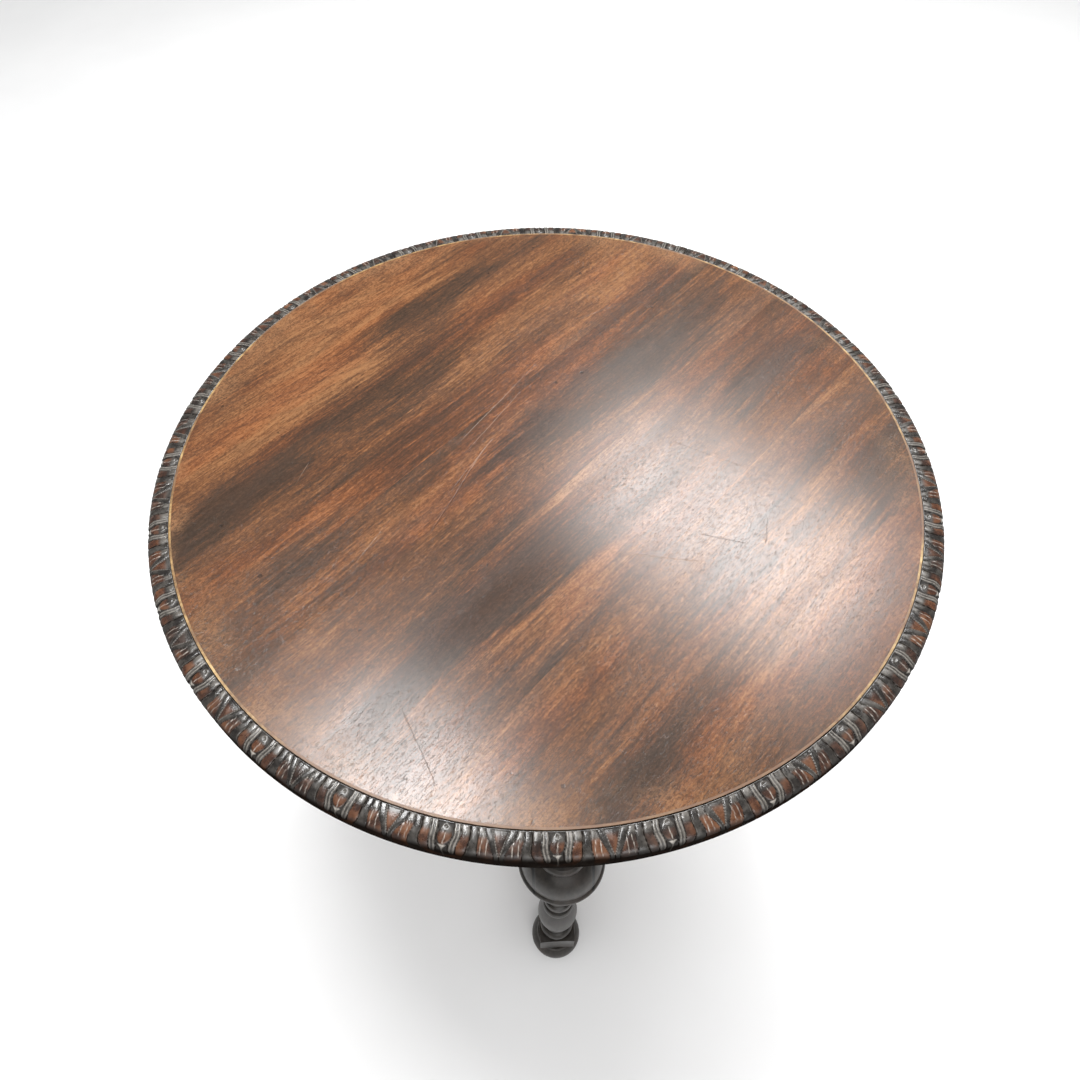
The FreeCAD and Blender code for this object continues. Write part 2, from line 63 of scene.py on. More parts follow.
# ---- Node helpers ----------------------------------------------------------------------------
class Shader:
    """A material and short ways to add nodes to it. Sockets are given as values or outputs."""

    def __init__(self, name):
        self.material = bpy.data.materials.new(name)
        self.material.use_nodes = True
        self.tree = self.material.node_tree
        self.surface = self.tree.nodes["Principled BSDF"]
        self.place = self.tree.nodes.new("ShaderNodeTexCoord").outputs["Object"]

    def feed(self, socket, value):
        """Link an output to a socket, or set the socket to a plain value."""
        if isinstance(value, bpy.types.NodeSocket):
            self.tree.links.new(value, socket)
        else:
            socket.default_value = value

    def node(self, kind, **settings):
        item = self.tree.nodes.new(kind)
        for name, value in settings.items():
            setattr(item, name, value)
        return item

    def math(self, operation, first, second=0.0):
        item = self.node("ShaderNodeMath", operation=operation)
        self.feed(item.inputs[0], first)
        self.feed(item.inputs[1], second)
        return item.outputs[0]

    def mapped(self, vector, location=(0, 0, 0), turn=0.0, scale=(1, 1, 1), kind="POINT"):
        item = self.node("ShaderNodeMapping", vector_type=kind)
        self.feed(item.inputs["Vector"], vector)
        item.inputs["Location"].default_value = location
        item.inputs["Rotation"].default_value = (0, 0, turn)
        item.inputs["Scale"].default_value = scale
        return item.outputs[0]

    def noise(self, vector, scale, detail=4.0, roughness=0.55, distortion=0.0):
        item = self.node("ShaderNodeTexNoise")
        self.feed(item.inputs["Vector"], vector)
        item.inputs["Scale"].default_value = scale
        item.inputs["Detail"].default_value = detail
        item.inputs["Roughness"].default_value = roughness
        item.inputs["Distortion"].default_value = distortion
        return item.outputs["Fac"]

    def band(self, value, low, high, start=0.0, end=1.0):
        """Smoothly from start at low to end at high."""
        item = self.node("ShaderNodeMapRange", interpolation_type="SMOOTHSTEP")
        self.feed(item.inputs["Value"], value)
        for name, number in (("From Min", low), ("From Max", high),
                             ("To Min", start), ("To Max", end)):
            item.inputs[name].default_value = number
        return item.outputs[0]

    def ramp(self, value, stops):
        """A colour ramp; stops are (position, colour)."""
        item = self.node("ShaderNodeValToRGB")
        self.feed(item.inputs[0], value)
        ramp = item.color_ramp
        while len(ramp.elements) < len(stops):
            ramp.elements.new(0.5)
        for element, (position, colour) in zip(ramp.elements, stops):
            element.position = position
            element.color = (*colour, 1)
        return item.outputs[0]

    def mix(self, factor, first, second, blend="MIX"):
        item = self.node("ShaderNodeMix", data_type="RGBA", blend_type=blend)
        self.feed(item.inputs["Factor"], factor)
        for socket, value in ((item.inputs[6], first), (item.inputs[7], second)):
            colour = (*value, 1) if isinstance(value, tuple) else value
            self.feed(socket, colour)
        return item.outputs[2]

    def warped(self, vector, scale, strength):
        """The vector, pushed about by noise of that scale by up to half of strength."""
        item = self.node("ShaderNodeTexNoise")
        self.feed(item.inputs["Vector"], vector)
        item.inputs["Scale"].default_value = scale
        item.inputs["Detail"].default_value = 2.0
        shift = self.node("ShaderNodeVectorMath", operation="SUBTRACT")
        self.feed(shift.inputs[0], item.outputs["Color"])
        shift.inputs[1].default_value = (0.5, 0.5, 0.5)
        grown = self.node("ShaderNodeVectorMath", operation="SCALE")
        self.feed(grown.inputs[0], shift.outputs[0])
        grown.inputs["Scale"].default_value = strength
        total = self.node("ShaderNodeVectorMath", operation="ADD")
        self.feed(total.inputs[0], vector)
        self.feed(total.inputs[1], grown.outputs[0])
        return total.outputs[0]

    def spot(self, vector, centre, length, width, turn=0.0):
        """1 in the middle of an ellipse on the XY plane, falling to 0 at its edge."""
        flat = self.mapped(vector, (*centre, TOP_SURFACE), turn, (length, width, 1), "TEXTURE")
        item = self.node("ShaderNodeTexGradient", gradient_type="SPHERICAL")
        self.feed(item.inputs[0], flat)
        return item.outputs[1]

    def scaled(self, value, factor):
        return self.math("MULTIPLY", value, factor)

    def total(self, *values):
        result = values[0]
        for value in values[1:]:
            result = self.math("ADD", result, value)
        return result

    def blended(self, *parts):
        """The sum of (value, weight) pairs."""
        return self.total(*(self.scaled(value, weight) for value, weight in parts))

    def bump(self, value, strength, distance):
        item = self.node("ShaderNodeBump")
        item.inputs["Strength"].default_value = strength
        item.inputs["Distance"].default_value = distance
        self.feed(item.inputs["Height"], value)
        return item.outputs[0]

    def finish(self, colour, roughness, normal=None, **constants):
        """Feed the surface; constants name its other sockets, with _ for a space."""
        self.feed(self.surface.inputs["Base Color"], colour)
        self.feed(self.surface.inputs["Roughness"], roughness)
        if normal is not None:
            self.feed(self.surface.inputs["Normal"], normal)
        for name, value in constants.items():
            self.surface.inputs[name.replace("_", " ")].default_value = value
        return self.material


# ---- Materials -------------------------------------------------------------------------------
# Smoky stains in the old polish: (x, y), length and width, in metres, on the top.
DARK_STAINS = [
    ((-0.05, 0.21), 0.19, 0.045), ((-0.03, 0.12), 0.20, 0.060), ((-0.12, -0.07), 0.13, 0.060),
    ((-0.23, 0.17), 0.12, 0.030), ((-0.24, 0.09), 0.08, 0.040), ((-0.22, -0.08), 0.13, 0.045),
    ((-0.21, -0.27), 0.10, 0.040), ((0.28, 0.05), 0.15, 0.055), ((0.17, 0.00), 0.20, 0.035),
    ((0.27, -0.10), 0.14, 0.040), ((0.22, -0.24), 0.14, 0.055), ((0.07, 0.02), 0.16, 0.035),
    ((0.09, 0.25), 0.12, 0.025), ((0.02, -0.22), 0.12, 0.030),
]
# Patches where the polish has worn back to an orange brown, and paler ones near the edge.
WARM_PATCHES = [
    ((0.00, 0.13), 0.10, 0.022), ((-0.11, 0.04), 0.13, 0.040), ((-0.11, -0.13), 0.11, 0.045),
    ((0.05, -0.27), 0.20, 0.060), ((-0.28, 0.03), 0.08, 0.035), ((0.27, 0.13), 0.10, 0.035),
    ((0.12, 0.16), 0.18, 0.035), ((-0.13, 0.25), 0.16, 0.060), ((0.02, 0.31), 0.22, 0.045),
]
# How dark each board is, from board_1 to board_5.
BOARD_TONES = [-0.63, -0.66, -0.69, -0.66, -0.62]
# Scratches: (x, y), length, width and direction in degrees from the grain.
SCRATCHES = [
    ((-0.100, 0.030), 0.085, 0.0010, 18), ((-0.060, 0.045), 0.060, 0.0007, 12),
    ((0.020, 0.085), 0.095, 0.0006, 8), ((0.000, 0.070), 0.070, 0.0005, 10),
    ((0.035, -0.190), 0.030, 0.0006, -62), ((-0.020, -0.160), 0.050, 0.0006, -55),
    ((0.110, -0.120), 0.055, 0.0005, -75), ((0.070, -0.215), 0.022, 0.0008, 30),
    ((-0.290, -0.125), 0.045, 0.0006, 70), ((-0.150, 0.175), 0.060, 0.0005, 25),
    ((0.200, 0.100), 0.030, 0.0006, -20), ((-0.180, 0.050), 0.050, 0.0005, 14),
]


def board_material(index):
    """Polished hardwood with its grain along X; each board is a plank of its own."""
    shader = Shader(f"polished_board_{index}")
    place = shader.place
    plank = shader.mapped(place, (0.37 * index, 0.91 * index, 0.0))
    wavy = shader.warped(plank, 3.0, 0.020)

    broad = shader.noise(shader.mapped(wavy, scale=(2.4, 26, 6)), 1.0, 6, 0.68, 0.5)
    streaks = shader.noise(shader.mapped(wavy, scale=(12, 260, 40)), 1.0, 7, 0.74)
    fibres = shader.noise(shader.mapped(wavy, scale=(75, 430, 200)), 1.0, 3, 0.75)
    mottle = shader.noise(shader.mapped(wavy, scale=(0.8, 1.2, 1)), 440, 3, 0.8)
    flecks = shader.band(shader.noise(shader.mapped(plank, scale=(130, 420, 200)), 1.0, 2, 0.6),
                         0.44, 0.60)
    pores = shader.noise(shader.mapped(plank, scale=(150, 1100, 600)), 1.0, 2, 0.5)
    pore_mask = shader.band(pores, 0.56, 0.66)

    # Cathedral figure: contour lines of a long slow swelling across the plank.
    swell = shader.noise(shader.mapped(wavy, scale=(1.6, 9, 4)), 1.0, 1, 0.4)
    rings = shader.math("SINE", shader.math("MULTIPLY", swell, 130.0))
    ring_mask = shader.band(rings, 0.55, 1.0)

    cloud = shader.warped(place, 9.0, 0.075)
    cloud = shader.warped(cloud, 45.0, 0.016)
    # Stains and worn patches run along the grain and break up into its streaks.
    ragged = shader.total(shader.blended((streaks, 1.7), (broad, 1.6)), -1.65)
    dark = shader.total(*(shader.spot(cloud, *stain) for stain in DARK_STAINS))
    dark = shader.band(shader.math("SUBTRACT", dark, ragged), 0.00, 0.85)
    warm = shader.total(*(shader.spot(cloud, *patch) for patch in WARM_PATCHES))
    warm = shader.band(shader.math("ADD", warm, ragged), 0.10, 0.70)

    tone = shader.blended((broad, 0.90), (streaks, 0.42), (fibres, 0.55), (mottle, 0.74),
                          (flecks, 0.08), (dark, -0.21), (warm, 0.14))
    tone = shader.total(tone, BOARD_TONES[index - 1])
    colour = shader.ramp(tone, [
        (0.28, (0.027, 0.016, 0.010)), (0.48, (0.049, 0.027, 0.016)),
        (0.66, (0.086, 0.038, 0.018)), (0.84, (0.150, 0.064, 0.026)),
        (1.00, (0.225, 0.106, 0.044)),
    ])
    blush = shader.noise(shader.mapped(wavy, scale=(4, 22, 6)), 1.0, 3)
    blush = shader.math("MULTIPLY", shader.band(blush, 0.46, 0.64), 0.75)
    colour = shader.mix(blush, colour, (1.06, 0.87, 0.78), "MULTIPLY")
    smoke = shader.math("MULTIPLY", dark, 0.15)
    colour = shader.mix(smoke, colour, (0.052, 0.036, 0.026))
    colour = shader.mix(shader.math("MULTIPLY", ring_mask, 0.25), colour,
                        (0.050, 0.026, 0.016))

    # Worn paler close to the string line.
    radius = shader.node("ShaderNodeVectorMath", operation="LENGTH")
    shader.feed(radius.inputs[0], shader.mapped(place, scale=(1, 1, 0)))
    edge = shader.band(radius.outputs["Value"], 0.88 * FIELD_RADIUS, FIELD_RADIUS)
    worn = shader.math("MULTIPLY", edge, shader.band(shader.noise(place, 14, 4), 0.42, 0.66))
    worn = shader.math("MULTIPLY", worn, shader.band(mottle, 0.40, 0.60, 0.15, 0.70))
    colour = shader.mix(worn, colour, (0.260, 0.135, 0.064))
    colour = shader.mix(shader.math("MULTIPLY", pore_mask, 0.55), colour,
                        (0.030, 0.016, 0.010))

    # Scratches, dents and specks.
    bent = shader.warped(place, 12.0, 0.004)
    scratch = shader.total(*(
        shader.spot(bent, centre, length, width, math.radians(angle))
        for centre, length, width, angle in SCRATCHES
    ))
    scratch = shader.band(scratch, 0.15, 0.5)
    filled = shader.band(shader.noise(place, 7, 1), 0.47, 0.50)
    scratch_colour = shader.mix(filled, (0.250, 0.165, 0.110), (0.020, 0.012, 0.008))
    colour = shader.mix(shader.math("MULTIPLY", scratch, 0.45), colour, scratch_colour)
    dent = shader.band(shader.noise(place, 110, 1, 0.4), 0.790, 0.815)
    colour = shader.mix(shader.math("MULTIPLY", dent, 0.6), colour, (0.012, 0.008, 0.006))

    height = shader.blended((streaks, 0.20), (fibres, 0.22), (pore_mask, -0.35),
                            (scratch, -0.9), (dent, -0.5), (mottle, 0.22))
    sheen = shader.noise(shader.mapped(wavy, scale=(6, 30, 10)), 1.0, 4)
    roughness = shader.band(sheen, 0.30, 0.72, 0.18, 0.24)
    roughness = shader.math("ADD", roughness, shader.math("MULTIPLY", mottle, 0.05))
    return shader.finish(colour, roughness, shader.bump(height, 0.22, 0.0005),
                         Specular_IOR_Level=0.45)


def turned_wood_material(name, side):
    """Near-black stained wood of the legs and feet, rubbed a little brown.

    side is 1 or -1: the diagonal that the glue lines between the blank and its cheeks follow.
    """
    shader = Shader(name)
    place = shader.place
    grain = shader.noise(shader.mapped(place, scale=(220, 220, 9)), 1.0, 5, 0.6)
    cloud = shader.noise(place, 22, 4)
    rub = shader.noise(place, 75, 5, 0.65)
    colour = shader.ramp(grain, [
        (0.30, (0.010, 0.008, 0.0065)), (0.55, (0.023, 0.019, 0.015)),
        (0.80, (0.043, 0.035, 0.028)),
    ])
    brown = shader.math("MULTIPLY", shader.band(cloud, 0.50, 0.72), 0.45)
    colour = shader.mix(brown, colour, (0.036, 0.019, 0.012))
    dust = shader.math("MULTIPLY", shader.band(rub, 0.58, 0.78), 0.30)
    colour = shader.mix(dust, colour, (0.068, 0.059, 0.050))
    axes = shader.node("ShaderNodeSeparateXYZ")
    shader.feed(axes.inputs[0], place)
    across = shader.math("ADD", shader.math("MULTIPLY", axes.outputs["X"], side),
                         axes.outputs["Y"])
    across = shader.math("ABSOLUTE", shader.math("MULTIPLY", across, math.sqrt(0.5)))
    away = shader.math("ABSOLUTE", shader.math("SUBTRACT", across, BLANK_HALF_WIDTH))
    seam = shader.math("MULTIPLY", shader.band(away, 0.0008, 0.0019, 1.0, 0.0),
                       shader.band(axes.outputs["Z"], CHEEKS_LOW, CHEEKS_LOW + 0.02))
    colour = shader.mix(seam, colour, (0.003, 0.003, 0.003))
    height = shader.blended((grain, 0.6), (rub, 0.5), (seam, -1.5))
    roughness = shader.band(cloud, 0.3, 0.75, 0.34, 0.50)
    return shader.finish(colour, roughness, shader.bump(height, 0.22, 0.0006))


def rail_material(name, along, dark, light):
    """Plain stained wood out of sight, with its grain along a direction in degrees."""
    shader = Shader(name)
    turned = shader.mapped(shader.place, turn=math.radians(-along))
    wavy = shader.warped(turned, 8.0, 0.010)
    grain = shader.noise(shader.mapped(wavy, scale=(7, 160, 160)), 1.0, 6, 0.6)
    broad = shader.noise(shader.mapped(wavy, scale=(2, 22, 22)), 1.0, 3)
    tone = shader.blended((grain, 0.6), (broad, 0.5))
    colour = shader.ramp(tone, [(0.38, dark), (0.72, light)])
    roughness = shader.band(broad, 0.3, 0.7, 0.48, 0.62)
    return shader.finish(colour, roughness, shader.bump(grain, 0.25, 0.0008))


def string_material():
    """Pale string inlay, yellowed and rubbed through to dark in places, and darker along its
    front-left part.
    """
    shader = Shader("string_wood")
    place = shader.place
    wear = shader.noise(place, 90, 5, 0.7)
    patches = shader.noise(place, 9, 3)
    colour = shader.ramp(wear, [
        (0.36, (0.110, 0.055, 0.024)), (0.52, (0.260, 0.155, 0.058)),
        (0.70, (0.460, 0.320, 0.140)),
    ])
    # Darker along the front-left part, the side nearest the camera.
    front = shader.band(shader.spot(place, (-0.27, -0.27), 0.30, 0.30), 0.05, 0.40)
    dull = shader.math("MAXIMUM", shader.band(patches, 0.46, 0.60), front)
    colour = shader.mix(shader.math("MULTIPLY", dull, 0.85), colour, (0.130, 0.064, 0.033))
    return shader.finish(colour, 0.42, shader.bump(wear, 0.3, 0.0004))


def carved_material():
    """Stained carving: brown on the rubbed lobes, grey on cut edges that is partly worn wood and
    partly painted highlight, black in the cuts that is partly stain and partly painted shade, and
    painted shade on the lower margin.
    """
    shader = Shader("carved_rim")
    place = shader.place
    marks = shader.node("ShaderNodeVertexColor", layer_name="carving").outputs["Color"]
    parts = shader.node("ShaderNodeSeparateColor")
    shader.feed(parts.inputs[0], marks)
    lobe, edge, shade_and_stain = parts.outputs
    fine = shader.noise(place, 420, 4, 0.65)
    rub = shader.noise(place, 95, 5, 0.65)
    cloud = shader.noise(place, 16, 3)
    stain = shader.ramp(rub, [
        (0.38, (0.010, 0.008, 0.007)), (0.54, (0.030, 0.026, 0.022)),
        (0.72, (0.082, 0.073, 0.064)),
    ])
    brown = shader.ramp(shader.blended((rub, 0.7), (cloud, 0.5)), [
        (0.42, (0.014, 0.006, 0.004)), (0.58, (0.054, 0.019, 0.009)),
        (0.76, (0.155, 0.060, 0.022)),
    ])
    smear = shader.band(shader.total(shader.scaled(rub, 0.7), cloud), 0.60, 0.95, 0.35, 1.0)
    lobe_mask = shader.math("MULTIPLY", lobe, smear)
    colour = shader.mix(lobe_mask, stain, brown)
    # Pale grey on cut edges and ridges: partly worn bare wood, partly painted highlight, and on
    # the upper lobes painted reflection.
    pale_edge_and_highlight = shader.math("MULTIPLY", edge, shader.band(fine, 0.32, 0.56, 0.35, 1.0))
    colour = shader.mix(pale_edge_and_highlight, colour, (0.42, 0.385, 0.340))
    # Black in the cuts, partly stain and partly painted shade, and painted shade on the lower
    # margin.
    colour = shader.mix(shade_and_stain, colour, (0.008, 0.006, 0.005))
    height = shader.blended((fine, 0.6), (rub, 0.8))
    roughness = shader.band(rub, 0.3, 0.75, 0.20, 0.38)
    # No reflection and more roughness there, which keeps the painted shade dark.
    roughness = shader.math("ADD", roughness, shader.math("MULTIPLY", shade_and_stain, 0.65))
    shader.feed(shader.surface.inputs["Specular IOR Level"],
                shader.band(shade_and_stain, 0.1, 0.8, 0.85, 0.0))
    return shader.finish(colour, roughness, shader.bump(height, 0.40, 0.0006))


def metal_material(name, bright, dull, roughness):
    """Old metal: bright where rubbed, dull and brown in patches."""
    shader = Shader(name)
    tarnish = shader.noise(shader.place, 140, 5, 0.65)
    colour = shader.ramp(tarnish, [(0.36, dull), (0.66, bright)])
    rough = shader.band(tarnish, 0.3, 0.7, roughness + 0.22, roughness)
    return shader.finish(colour, rough, shader.bump(tarnish, 0.15, 0.0003), Metallic=1.0)


def leather_material():
    """Brown pad leather with a pebbled face."""
    shader = Shader("pad_leather")
    cells = shader.node("ShaderNodeTexVoronoi", feature="DISTANCE_TO_EDGE")
    shader.feed(cells.inputs["Vector"], shader.place)
    cells.inputs["Scale"].default_value = 900
    pebble = shader.band(cells.outputs["Distance"], 0.0, 0.25)
    tone = shader.noise(shader.place, 120, 4)
    colour = shader.ramp(tone, [(0.35, (0.050, 0.026, 0.016)), (0.70, (0.120, 0.062, 0.036))])
    return shader.finish(colour, 0.62, shader.bump(pebble, 0.5, 0.0003))


def dress(material, *names):
    """Give CAD nodes a material."""
    for name in names:
        slots = NODES[name].data.materials
        slots.clear()
        slots.append(material)


# ---- Carved rim ------------------------------------------------------------------------------
# The carving stays this far inside the CAD rim.
SKIN = 0.0002


def smooth(value, low, high):
    """Smoothly from 0 at low to 1 at high."""
    t = np.clip((value - low) / (high - low), 0, 1)
    return t * t * (3 - 2 * t)


def dome(t):
    """A round hump over -1 to 1."""
    return np.sqrt(np.clip(1 - t * t, 0, 1))


def line(distance, half_width):
    """1 on a line, falling to 0 at its half width."""
    return np.clip(1 - np.abs(distance) / half_width, 0, 1)


def carving(side, down):
    """The carved pattern of one repeat: low, rounded shapes that meet in fine grooves.

    side is degrees from the egg's middle, -6.43 to 6.43; down runs from 0 at the field's edge
    to 1 at the lower edge. Returns the depth in mm, and masks for lobes, for pale edges (worn
    wood and painted highlight), and for painted shade (with some stain in the cuts) in the
    hollows and on the lower margin.
    """
    off = np.abs(side)
    depth = np.full(side.shape, 1.5)
    lobe = np.zeros(side.shape)
    edge = np.zeros(side.shape)

    def place(left, right, sunk, swell, is_lobe=0.0, is_edge=0.0, within=1.0):
        """Raise a rounded shape between two outlines; sunk is its depth at the sides."""
        nonlocal depth, lobe, edge
        half = np.maximum((right - left) / 2, 0.01)
        across = (off - (left + right) / 2) / half
        solid = smooth((1 - np.abs(across)) * half, 0.0, 0.07) * within
        depth = depth * (1 - solid) + (sunk - swell * dome(across) ** 0.8) * solid
        lobe = lobe * (1 - solid) + is_lobe * solid
        edge = edge * (1 - solid) + is_edge * solid

    def cut(where, amount, light=0.0):
        """Cut into what is there; light is how pale the edge beside the cut is painted, partly as
        worn bare wood and partly as a painted highlight.
        """
        nonlocal depth, edge
        depth = depth + amount * where
        edge = np.maximum(edge, light * where)

    # Upper, top-facing parts of the lobes are painted paler: painted reflection of the light
    # above.
    upper_painted_sheen = 1 - smooth(down, 0.10, 0.34)
    curl = smooth(down, 0.35, 0.85)

    # Outlines, outwards from the egg's middle.
    band_inner = 0.94 - 0.26 * curl
    band_outer = 1.80 - 0.26 * curl
    low = np.clip((down - 0.50) / 0.56, 0, 1)
    husk_outer = 2.84 * (1 - low ** 2.6) ** 0.385
    heart_left = 3.80 + 0.20 * smooth(down, 0.2, 0.9)
    heart_right = 4.55 + 1.30 * smooth(down, 0.0, 0.85)
    dart_left = 5.42 + 1.01 * np.clip(down / 0.80, 0, 1)

    # Two smooth grey flanges, with a brown heart between them and a dart beyond.
    place(husk_outer + 0.10, heart_left, 0.95, 0.70)
    brown = smooth(down, 0.20, 0.36)
    place(heart_left, heart_right, 0.75, 0.42, 0.95 * brown, 0.16 * upper_painted_sheen)
    place(heart_right, dart_left, 0.80, 0.62)
    brown = smooth(down, 0.08, 0.26)
    place(dart_left, 2 * HALF_REPEAT - dart_left, 1.25, 0.55, 0.95 * brown,
          within=1 - smooth(down, 0.76, 0.80))
    cut(line(off - dart_left + 0.03, 0.07) * (1 - smooth(down, 0.74, 0.80)), 0.0, 0.55)
    reach = smooth(down, 0.22, 0.29) * (1 - smooth(down, 0.72, 0.82))
    for cut_middle in (4.24, 4.80 + 0.18 * down):
        cut(line(off - cut_middle, 0.09) * reach, 0.65)
        cut(line(off - cut_middle - 0.07, 0.06) * reach, 0.0, 0.95)

    # Husk: the brown lobe that cups the egg, with a pale line round it.
    brown = smooth(down, 0.24, 0.40)
    husk_inner = band_outer * (1 - smooth(down, 0.88, 0.97))
    place(husk_inner, np.maximum(husk_outer, husk_inner), 0.95, 0.82, 0.95 * brown, 0.20 * upper_painted_sheen)
    ring = smooth(down, 0.06, 0.14) * (1 - smooth(down, 0.88, 0.96))
    cut(line(off - husk_outer - 0.10, 0.07) * ring, 0.0, 0.50)

    # Egg in its gutter: an eye at its top, a cut down its middle and a pale dart below it.
    gutter = smooth(band_inner - off, 0.0, 0.05) * (1 - smooth(down, 0.84, 0.90))
    depth = depth * (1 - gutter) + 1.25 * gutter
    lobe = lobe * (1 - gutter)
    edge = edge * (1 - gutter)
    egg = 0.84 * dome((down - 0.355) / 0.315)
    place(-egg, egg, 1.25, 1.20, 0.95 * smooth(down, 0.26, 0.38), 0.12 * upper_painted_sheen,
          smooth(egg, 0.05, 0.25))
    stem = smooth(down, 0.26, 0.31) * (1 - smooth(down, 0.63, 0.66))
    cut(line(off, 0.09) * stem, 0.6)
    cut(line(side - 0.05, 0.07) * stem, 0.0, 0.95)
    eye = np.sqrt((off / 0.26) ** 2 + ((down - 0.150) / 0.055) ** 2)
    cut(1 - smooth(eye, 0.5, 1.0), 0.8)
    cut(line(eye - 1.3, 0.4), 0.0, 0.12)
    tail = 0.09 + 0.44 * np.clip(1 - (down - 0.675) / 0.13, 0, 1) ** 1.5
    below = smooth(down, 0.670, 0.685)
    place(-tail, tail, 0.75, 0.30, 0.0, 0.80, below)

    # Collar: a band on each side of the egg, two ridges with a groove between.
    half = (band_outer - band_inner) / 2
    across = (off - (band_outer + band_inner) / 2) / half
    ends = 1 - smooth(down + 0.13 * across ** 2, 0.88, 0.93)
    place(band_inner, band_outer, 0.75, 0.65, 0.0, 0.05, ends)
    cut(line(across, 0.26) * ends * (1 - smooth(down, 0.66, 0.80)), 0.50)
    for ridge in (-0.48, 0.48):
        cut(line(across - ridge, 0.30) * ends, 0.0, 0.55)

    # The carving fades into a plain margin on the lower edge, painted dark as shade; the deepest
    # cuts are painted black, partly as stain and partly as shade.
    margin = smooth(down, 0.0, 0.03) * (1 - smooth(down, 0.93, 1.00))
    shade_and_stain = np.maximum(smooth(depth, 1.0, 1.5) * margin, 0.88 * smooth(down, 0.66, 0.92))
    depth = 0.12 + (depth - 0.12) * margin * (1 - 0.45 * smooth(down, 0.50, 0.90))
    return depth, lobe * margin, edge * margin, shade_and_stain


def rim_profile(rows):
    """Points and outward normals down the uncarved rim, and how far down the pattern each is.

    The rim has a rounded shoulder, an upright wall and a tucked lower edge.
    """
    start = np.array([FIELD_RADIUS + 0.0009, TOP_SURFACE - 0.0004])
    reach = RIM_OUTER - SKIN - start[0]
    shoulder_drop = 0.0085
    wall_end = RIM_LOW + 0.0045
    tuck = 0.0080
    t = np.linspace(0, math.pi / 2, 200)
    roundness = 2 / 2.3
    shoulder = np.stack([start[0] + reach * np.sin(t) ** roundness,
                         start[1] - shoulder_drop * (1 - np.cos(t) ** roundness)], 1)
    lower = np.stack([start[0] + reach - tuck * (1 - np.cos(t)),
                      wall_end - (wall_end - RIM_LOW - SKIN) * np.sin(t)], 1)
    path = np.concatenate([shoulder, lower])
    length = np.concatenate([[0], np.cumsum(np.linalg.norm(np.diff(path, axis=0), axis=1))])
    wanted = np.linspace(0, length[-1], rows)
    points = np.stack([np.interp(wanted, length, path[:, axis]) for axis in (0, 1)], 1)
    step = np.gradient(points, axis=0)
    step /= np.linalg.norm(step, axis=1)[:, None]
    normals = np.stack([-step[:, 1], step[:, 0]], 1)
    # The pattern is drawn out on the wall: most of it lies on the shoulder.
    advance = np.abs(np.diff(points[:, 0])) + 0.24 * np.abs(np.diff(points[:, 1]))
    down = np.concatenate([[0], np.cumsum(advance)])
    return points, normals, down / np.interp(-wall_end, -points[:, 1], down)


